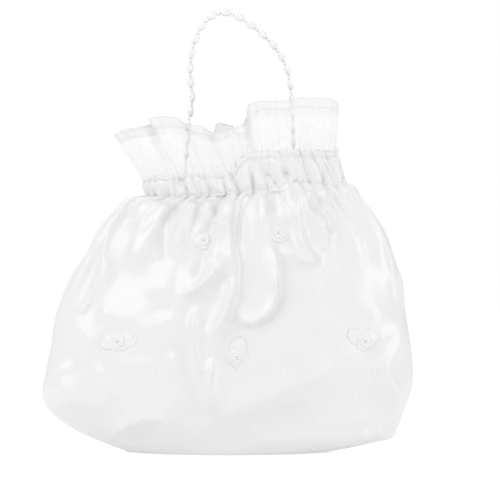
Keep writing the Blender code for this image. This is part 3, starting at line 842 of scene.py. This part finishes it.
def stitch_row(name, path, outward, length, gap, radius):
    """Machine stitches along a path: short round-ended lengths of thread with gaps between them."""
    steps = lengths_along(path)
    bm = bmesh.new()
    for start in np.arange(gap, steps[-1] - length, length + gap):
        along = start + length * STITCH_PLACES
        centre = np.transpose([np.interp(along, steps, axis) for axis in path.T])
        up = unit(np.transpose([np.interp(along, steps, axis) for axis in outward.T]))
        centre = centre + up * (radius * STITCH_RISES)[:, None]
        forward = unit(centre[-1] - centre[0])
        rings = []
        for place, size, lift in zip(centre, radius * STITCH_SIZES, up):
            aside = np.cross(forward, lift)
            corners = [place + size * (a * aside + b * lift) for a, b in STITCH_SECTION]
            rings.append([bm.verts.new(corner * MM) for corner in corners])
        skin_rings(bm, rings)
    row = mesh_object(name, bm, SEWING_THREAD)
    return row


def make_casing_stitches(points, word):
    """The two rows of stitches that hold the elastic in."""
    outward = np.zeros_like(points)
    outward[..., 0] = (points[..., 0] - NECK_LEAN) / CASING_HALF[0] ** 2
    outward[..., 1] = points[..., 1] / CASING_HALF[1] ** 2
    normals = grid_normals(points, outward)
    rows = len(points)
    for label, share in (("lower", FIRST_STITCHES), ("upper", LAST_STITCHES)):
        row = int(round(rows * math.asin(2 * share - 1) / (2 * math.pi))) % rows
        name = f"casing_stitches_{label}_{word}"
        stitches = stitch_row(name, points[row] + normals[row] * 0.1, normals[row], 1.6, 1.0, 0.14)
        blend_to_mouth(stitches)


# ---- lining and base
LINING_FLOOR = 3.5  # height of the lining's floor, over the board
LINING_INSET = 3.6  # how far inside the satin the lining hangs
LINING_COLUMNS = 130  # on each face
LINING_ROWS = 110
LINING_SKIPPED = 4  # rows below the lining's floor


def make_lining():
    """The inner pouch, from its flat floor up to just inside the casing."""
    heights = np.concatenate([[LINING_FLOOR], even_heights(LINING_ROWS)[LINING_SKIPPED:]])
    angles = np.linspace(0, math.pi, LINING_COLUMNS, endpoint=False)
    halves = []
    for face, turned in ((BACK, angles), (FRONT, math.pi - angles)):
        grid = plain_body(heights, turned, face, inset=LINING_INSET)
        across = np.broadcast_to(turned / math.pi, grid.shape[:2])
        below = with_slope(grid[..., 0], NECK) - grid[..., 2]
        relief = 0.4 * gather_relief(across, across * 150.0, below, 71) * seam_fade(across, 0.04)
        relief += 0.25 * ripple(grid[..., 0], grid[..., 2], 30, 72)
        normals = grid_normals(grid, grid - BODY_CENTRE)
        halves.append(grid + normals * relief[..., None])
    wall = np.concatenate(halves, axis=1)
    top = wall[-1:].copy()
    top[..., :2] = (top[..., :2] - (NECK_LEAN, 0)) * 0.985 + (NECK_LEAN, 0)
    top[..., 2] += 4.0
    floor = [wall[:1] * (share, share, 1.0) for share in (0.02, 0.5, 0.9)]
    lining = grid_object("lining_cloth", np.concatenate(floor + [wall, top]), LINING, closed_across=True)
    thicken(lining, 0.3)
    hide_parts("lining_pouch")
    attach(lining, "bag")


BASE_INSET = 1.0
# The base's section, from the middle of its underside round to the middle of its top: share out, and height.
BASE_PROFILE = (
    (0.02, 0.05), (0.35, 0.05), (0.7, 0.05), (0.93, 0.1),
    (0.985, 0.35), (0.97, 0.75), (0.5, 0.85), (0.02, 0.85),
)


def make_base():
    """The satin oval under the bag, slightly puffed between its seam and the board."""
    low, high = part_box("base_panel")
    half = (np.array(high) - low)[:2] / 2 / MM - BASE_INSET
    angles = full_turn(96)
    rings = []
    for share, height in BASE_PROFILE:
        ring = np.stack([half[0] * share * np.cos(angles), half[1] * share * np.sin(angles)], axis=-1)
        rings.append(np.column_stack([ring, np.full(len(angles), height)]))
    base = grid_object("base_cloth", np.array(rings), SATIN, closed_across=True)
    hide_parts("base_panel")
    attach(base, "bag")


# ---- rosettes
ROSE_RADIUS = 5.8
ROSE_HEIGHT = 2.9
ROSE_TURNS = 2.8
ROSE_EYE = 1.3  # depth of the hollow in a rose's middle
ROSE_SKIRT = ((1.02, 0.2), (0.97, -0.8))  # the rose's edge below its petals: share of its radius, and rise
ROSE_COLUMNS = 96
ROSE_ROWS = 60
PETAL_LIP = 0.75  # how far each petal stands above the next one out
LOOP_LENGTH = 12.0
LOOP_WIDTH = 9.5
LOOP_COLUMNS = 28
LOOP_ROWS = 30
ROSETTE_SINK = 0.1  # how far a rosette's stitches pull it into the satin
# The directions that each rosette's ribbon loops point in, in degrees from the right.
LOOP_TURNS = ((15, 175), (-50, 80), (32, 148), (165, 20), (10, 190))


def rose_grid(seed):
    """A rolled ribbon rose from above: petals that rise outwards to a lip and drop behind it, in a spiral."""
    rng = np.random.default_rng(seed)
    phase = rng.uniform(0, 2 * math.pi, 3)
    turn = full_turn(ROSE_COLUMNS)
    edge = ROSE_RADIUS * (1 + 0.05 * np.sin(3 * turn + phase[0]) + 0.04 * np.sin(5 * turn + phase[1]))
    rows = []
    for share in np.linspace(0.02, 1, ROSE_ROWS):
        uneven = 0.10 * np.sin(2 * turn + phase[2] + 5 * share)
        uneven = uneven + 0.07 * np.sin(3 * turn + 9 * share + phase[1])
        roll = (share ** 0.9 * ROSE_TURNS - turn / (2 * math.pi) + uneven) % 1.0
        lip = roll ** 0.7 * smooth((1 - roll) / 0.16)
        dome = ROSE_HEIGHT * (1 - 0.75 * share ** 2.2)
        rise = dome + PETAL_LIP * (0.75 + 0.5 * share) * (lip - 1) * smooth(share / 0.15)
        rows.append((edge * share, rise - ROSE_EYE * falloff(share, 0.10)))
    rows += [(edge * spread, np.full(ROSE_COLUMNS, rise)) for spread, rise in ROSE_SKIRT]
    rings = [(reach * np.cos(turn), reach * np.sin(turn), rise) for reach, rise in rows]
    return np.array([np.column_stack(ring) for ring in rings])


def loop_grid(seed):
    """A flattened ribbon loop: rounded at its far end, pinched where it is sewn, and a little puffed."""
    rng = np.random.default_rng(seed)
    lean, tilt = rng.uniform(-0.8, 0.8, 2)
    rows = []
    turn = full_turn(LOOP_COLUMNS)
    for share in np.linspace(0, 1, LOOP_ROWS):
        swell = math.sin(math.pi * share ** 0.9) ** 0.5
        half = LOOP_WIDTH / 2 * swell + 0.15
        aside = half * np.cos(turn)
        crease = 0.3 * falloff(aside, 1.1) * (1 - share)
        ring = np.hypot(2 * aside / LOOP_WIDTH, 2 * share - 1)
        crease = crease + 0.4 * falloff(ring - 0.62, 0.12) * smooth(share / 0.4)
        rise = (0.9 * swell + 0.12) * np.maximum(np.sin(turn), -0.1) + 0.15 - crease * (np.sin(turn) > 0)
        rise = rise + tilt * 0.4 * aside / LOOP_WIDTH + 0.5 * np.abs(aside / half) ** 3 * share
        forward = np.full(LOOP_COLUMNS, LOOP_LENGTH * share)
        rows.append(np.column_stack([forward, aside + lean * share ** 2, rise]))
    return np.array(rows)


def make_rosette(word, number, points, normals, seed):
    """A rolled rose on its ribbon loops, sewn to the satin."""
    x, height = ROSETTES[number]
    place, outward = place_on(points, normals, x, height)
    sideways = Vector((0.0, 0.0, 1.0)).cross(outward).normalized()
    axes = Matrix((sideways, outward.cross(sideways), outward)).transposed().to_4x4()
    stand = Matrix.Translation(place - outward * ROSETTE_SINK * MM) @ axes
    rose = grid_object(f"{word}_rolled_rose_{number + 1}", rose_grid(seed), RIBBON, closed_across=True)
    rose.matrix_world = stand
    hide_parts(f"{word}_rose_{number + 1}")
    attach(rose, "bag")
    for i, degrees in enumerate(LOOP_TURNS[number]):
        name = f"{word}_ribbon_loop_{number + 1}_{i + 1}"
        loop = grid_object(name, loop_grid(seed + 10 * i), RIBBON, closed_across=True)
        loop.matrix_world = stand @ Matrix.Rotation(math.radians(degrees), 4, "Z")
        if i == 0:
            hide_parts(f"{word}_leaf_{number + 1}")
        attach(loop, "bag")


# ---- the handle
SEED_RADIUS = 1.15
PIVOT_SEED_RADIUS = 0.8  # small enough for the last bead of the arch to swing past
WIRE_RADIUS = 0.3
CRIMP_RADIUS = 1.3
BEAD = (4.7, 3.3, 6.7)  # width, thickness and length of an oval bead
BEAD_HOLE = (0.16, 0.86)  # radius and height of the rim of a bead's hole, as shares of its half sizes
BEAD_COLUMNS = 24
BEAD_ROWS = 16
WIRE_STEPS = 60
TAB_HOLD = (0.0, -0.0012, 0.005)  # where the wire ends, from the middle of a ribbon tab, in metres
CRIMP_OFFSET = (0.0, -0.0004, 0.001)


def node_middle(name):
    """The middle of a CAD piece's box."""
    low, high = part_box(name)
    return (np.array(low) + np.array(high)) / 2


def bead_shape():
    """An oval bead with a small dimple where the wire goes in."""
    bm = bmesh.new()
    angles = [math.pi * i / BEAD_ROWS for i in range(1, BEAD_ROWS)]
    profile = [(math.sin(angle) ** 0.85, math.cos(angle)) for angle in angles]
    radius, height = BEAD_HOLE
    half = Vector(BEAD) * MM / 2
    rings = []
    for reach, rise in [(radius, height), *profile, (radius, -height)]:
        corners = [(reach * math.cos(turn), reach * math.sin(turn), rise) for turn in full_turn(BEAD_COLUMNS)]
        rings.append([bm.verts.new(Vector(corner) * half) for corner in corners])
    skin_rings(bm, rings)
    mesh = bpy.data.meshes.new("oval_bead")
    close_mesh(bm, mesh)
    mesh.materials.append(PEARL)
    return mesh


def bead_axes(node, before, after):
    """The turn that lays a bead along the strand and keeps the CAD bead's flat side where it is."""
    along = (after - before).normalized()
    corners = [Vector(v.co) for v in frame["nodes"][node].data.vertices]
    middle = sum(corners, Vector()) / len(corners)
    sideways = Vector((0.0, 1.0, 0.0)).cross(along).normalized()
    other = along.cross(sideways)
    spread = np.array([((c - middle).dot(sideways), (c - middle).dot(other)) for c in corners])
    turn = 0.5 * math.atan2(2 * (spread[:, 0] * spread[:, 1]).sum(), (spread ** 2).sum(axis=0) @ (1, -1))
    wide = sideways * math.cos(turn) + other * math.sin(turn)
    return Matrix((wide, along.cross(wide), along)).transposed().to_4x4()


def strand_points(names):
    """The middles of a run of CAD beads."""
    return [Vector(node_middle(name)) for name in names]


def make_beads(names, body, mesh, seed):
    """An oval bead in the place of each CAD bead."""
    centres = strand_points(names)
    rng = np.random.default_rng(seed)
    for i, name in enumerate(names):
        before = centres[max(i - 1, 0)]
        after = centres[min(i + 1, len(centres) - 1)]
        bead = bpy.data.objects.new(f"pearl_{name}", mesh)
        bpy.context.scene.collection.objects.link(bead)
        size = Matrix.Diagonal((*(1 + rng.uniform(-0.03, 0.03, 3)), 1.0))
        bead.matrix_world = Matrix.Translation(centres[i]) @ bead_axes(name, before, after) @ size
        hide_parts(name)
        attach(bead, body)
    return centres


def make_strand(name, node, body, centres, start, end):
    """The wire through a run of beads, with a round seed bead in each gap."""
    path = path_through(np.array([start, *centres, end]) / MM, WIRE_STEPS)
    wire = tube_along(name, path, WIRE_RADIUS, SEED)
    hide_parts(node)
    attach(wire, body)
    gaps = [(one + other) / 2 for one, other in zip(centres, centres[1:])]
    for i, place in enumerate(gaps):
        make_seed(f"{name}_seed_{i + 1}", body, place)


def make_seed(name, body, place, radius=SEED_RADIUS):
    """A small round bead."""
    bm = bmesh.new()
    bmesh.ops.create_uvsphere(bm, u_segments=16, v_segments=10, radius=radius * MM)
    bead = mesh_object(name, bm, SEED)
    bead.matrix_world = Matrix.Translation(place)
    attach(bead, body)


def make_handle():
    """The beaded arch and the two strands that hold it inside the neck."""
    mesh = bead_shape()
    arch = [f"arch_bead_{i:02d}" for i in range(1, 17)]
    left = [f"left_leg_bead_{i}" for i in range(1, 4)]
    right = [f"right_leg_bead_{i}" for i in range(1, 5)]
    left_pivot = Vector(JOINTS["handle_swing"]["pos_m"])
    arch_centres = make_beads(arch, "handle", mesh, 3)
    swing_axis = Vector(JOINTS["handle_swing"]["axis"])
    between = (strand_points(right)[0] + arch_centres[-1]) / 2
    right_pivot = left_pivot + swing_axis * (between - left_pivot).dot(swing_axis)
    make_strand("arch_wire", "thread_arch", "handle", arch_centres, left_pivot, right_pivot)
    for word, names, pivot in (("left", left, left_pivot), ("right", right, right_pivot)):
        centres = make_beads(names, "bag", mesh, 11)
        tab = Vector(node_middle(f"handle_tab_{word}")) + Vector(TAB_HOLD)
        make_strand(f"{word}_leg_wire", f"thread_{word}_leg", "bag", centres, pivot, tab)
        make_seed(f"{word}_pivot_seed", "bag", pivot, PIVOT_SEED_RADIUS)
        make_seed(f"{word}_crimp", "bag", tab + Vector(CRIMP_OFFSET), CRIMP_RADIUS)


def cover_plain_nodes():
    """The CAD pieces that show as they are get their looks."""
    for name, material in (("handle_tab_left", RIBBON), ("handle_tab_right", RIBBON), ("base_board", CARD)):
        mesh = frame["nodes"][name].data
        mesh.materials.clear()
        mesh.materials.append(material)


# ---- floor, light and camera
CAMERA_DISTANCE = 1.4
CAMERA_SIDE = 0.013
CAMERA_HEIGHT = 0.1216
SEEN_WIDTH = 0.3025  # how wide the picture is at the bag
FLOOR_SIZE = 6.0
FLOOR_DROP = 0.0004
FLOOR_GLOW = (0.46, 0.68)  # how strongly the floor and the sky light the bag, and how bright they look
SKY_GLOW = (0.765, 1.0)


def area_light(name, place, target, size, power):
    """A rectangular lamp that faces the target; size in metres and power in watts."""
    data = bpy.data.lights.new(name, "AREA")
    data.shape = "RECTANGLE"
    data.size, data.size_y = size
    data.energy = power
    lamp = bpy.data.objects.new(name, data)
    lamp.location = place
    lamp.rotation_euler = (Vector(target) - Vector(place)).to_track_quat("-Z", "Y").to_euler()
    bpy.context.scene.collection.objects.link(lamp)


def brighter_backdrop(tree, strength, lighting, seen):
    """Set a strength so that a backdrop looks white itself but lights the bag less."""
    rays = tree.nodes.new("ShaderNodeLightPath")
    level = tree.nodes.new("ShaderNodeMapRange")
    level.inputs["To Min"].default_value = lighting
    level.inputs["To Max"].default_value = seen
    tree.links.new(rays.outputs["Is Camera Ray"], level.inputs["Value"])
    tree.links.new(level.outputs["Result"], strength)


def make_studio():
    """A wide white floor, soft lights and a plain white sky."""
    bpy.ops.mesh.primitive_plane_add(size=FLOOR_SIZE, location=(0.0, 0.0, -FLOOR_DROP))
    floor = bpy.context.object
    floor.name = "floor"
    white = Nodes("studio_white")
    white.base((0.55, 0.55, 0.55), Roughness=0.9, Emission_Color=(1.0, 1.0, 1.0, 1.0))
    brighter_backdrop(white.tree, white.shader.inputs["Emission Strength"], *FLOOR_GLOW)
    floor.data.materials.append(white.material)
    world = bpy.data.worlds.new("white_sky")
    world.use_nodes = True
    sky = world.node_tree.nodes["Background"]
    sky.inputs["Color"].default_value = (1.0, 1.0, 1.0, 1.0)
    brighter_backdrop(world.node_tree, sky.inputs["Strength"], *SKY_GLOW)
    bpy.context.scene.world = world
    middle = (0.0, 0.0, 0.11)
    area_light("key", (-0.75, -0.75, 0.95), middle, (1.1, 1.1), 6.2)
    area_light("fill", (1.0, -0.45, 0.40), middle, (0.4, 0.9), 2.4)
    area_light("top", (0.1, 0.15, 1.2), middle, (0.5, 0.3), 0.6)
    area_light("back", (-0.4, 1.0, 0.8), middle, (0.8, 0.8), 2.5)
    bpy.context.scene.view_settings.view_transform = "Standard"


def make_camera():
    """A long lens, level with the middle of the bag and handle."""
    data = bpy.data.cameras.new("camera")
    data.lens = data.sensor_width * CAMERA_DISTANCE / SEEN_WIDTH
    camera = bpy.data.objects.new("camera", data)
    camera.location = (CAMERA_SIDE, -CAMERA_DISTANCE, CAMERA_HEIGHT)
    camera.rotation_euler = (math.radians(90), 0.0, 0.0)
    bpy.context.scene.collection.objects.link(camera)
    bpy.context.scene.camera = camera


# ---- making the bag
make_camera()
make_studio()
for word, face, seed in (("front", FRONT, 20), ("back", BACK, 40)):
    panel, points, normals = make_satin_panel(f"satin_cloth_{word}", face, seed)
    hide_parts(f"satin_{word}_panel")
    for number in range(len(ROSETTES)):
        make_rosette(word, number, points, normals, seed * 10 + number)
    casing, casing_points = make_casing(f"casing_cloth_{word}", face, seed, f"casing_{word}")
    make_casing_stitches(casing_points, word)
    make_elastic(f"elastic_band_{word}", face)
    make_frill(face, seed + 7)
make_lining()
make_base()
make_handle()
cover_plain_nodes()
